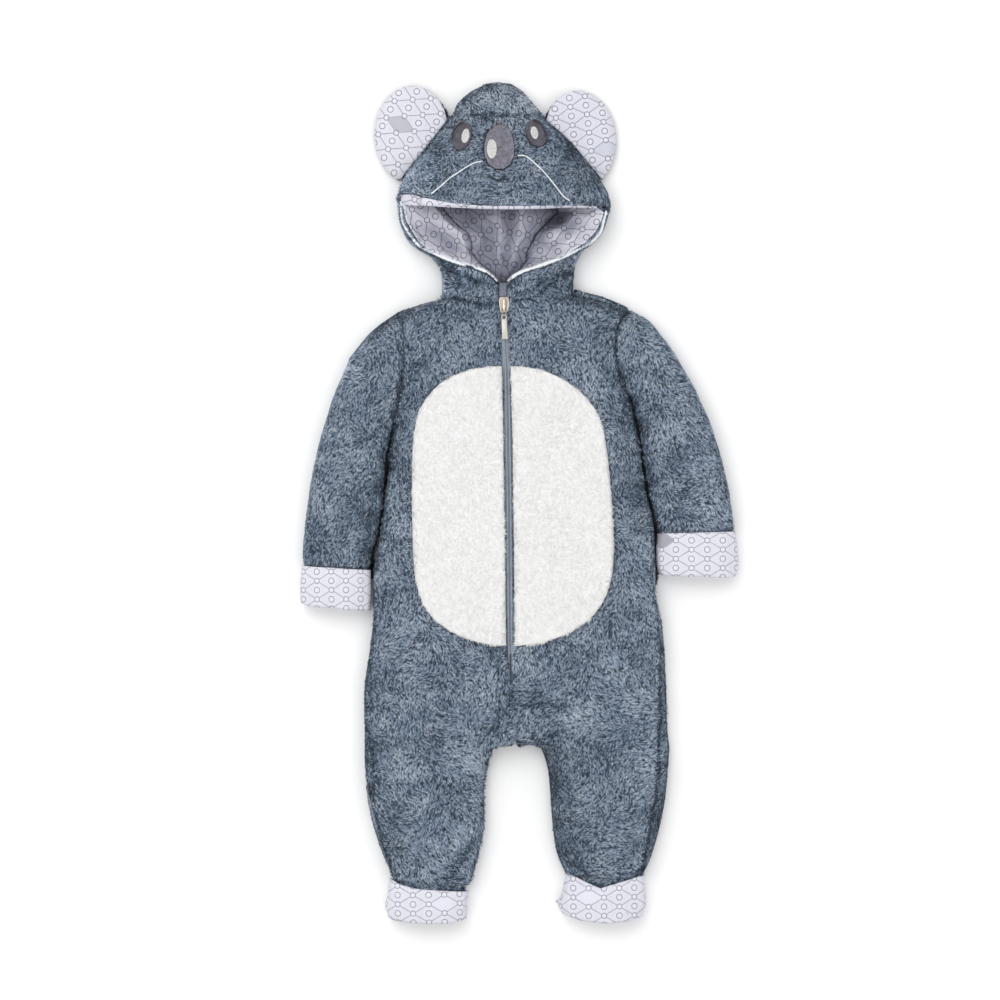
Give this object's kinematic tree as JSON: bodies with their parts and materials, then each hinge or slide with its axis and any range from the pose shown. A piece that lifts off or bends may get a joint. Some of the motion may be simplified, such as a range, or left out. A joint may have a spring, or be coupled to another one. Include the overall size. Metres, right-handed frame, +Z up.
{
  "type": "onesie pajama",
  "caption": "Hooded plush baby overall with a koala face on the hood, printed lining and turned-up cuffs, white belly and a centre-front zip, laid flat face up.",
  "frame": {"origin": "middle of the garment's footprint, on the surface it lies on", "axes": "+Y towards the hood, +Z up from the surface, +X to the viewer's right when looking down on the front"},
  "size_m": [0.387, 0.738, 0.0506],
  "materials": {
    "fleece": "slate blue-grey teddy fleece, curly pile about 5 mm long, printed cotton backing",
    "belly_fleece": "off-white teddy fleece with a short dense pile",
    "printed_cotton": "woven cotton, pale lavender white with a thin grey lattice print, matte",
    "applique_cloth": "dark warm-grey applique cloth covered with satin stitch",
    "glint_thread": "white satin stitch",
    "zip_metal": "bright nickel-plated, warm silver",
    "zip_tape": "grey woven zip tape with a closed nylon coil"
  },
  "bodies": {
    "garment": {"back_left": "fleece", "back_right": "fleece", "front_left": "fleece", "front_right": "fleece", "sleeve_left": "fleece", "sleeve_right": "fleece", "hood_face": "fleece", "hood_centre": "fleece", "hood_side_left": "fleece", "hood_side_right": "fleece", "ear_back_left": "fleece", "ear_back_right": "fleece", "belly_left": "belly_fleece", "belly_right": "belly_fleece", "sleeve_cuff_left": "printed_cotton", "sleeve_cuff_right": "printed_cotton", "leg_cuff_left": "printed_cotton", "leg_cuff_right": "printed_cotton", "hood_lining_left": "printed_cotton", "hood_lining_centre": "printed_cotton", "hood_lining_right": "printed_cotton", "hood_facing": "printed_cotton", "ear_front_left": "printed_cotton", "ear_front_right": "printed_cotton", "eye_left": "applique_cloth", "eye_right": "applique_cloth", "nose": "applique_cloth", "eye_glint_left": "glint_thread", "eye_glint_right": "glint_thread", "nose_glint": "glint_thread", "zip_tape": "zip_tape", "zip_slider": "zip_metal"},
    "pull": {"zip_pull": "zip_metal"}
  },
  "joints": [
    {"name": "pull_hinge", "type": "hinge", "parent": "garment", "child": "pull", "pos_m": [-0.0134, 0.16835, 0.03345], "axis": [-1, 0, 0], "range_deg": [0, 150]}
  ]
}
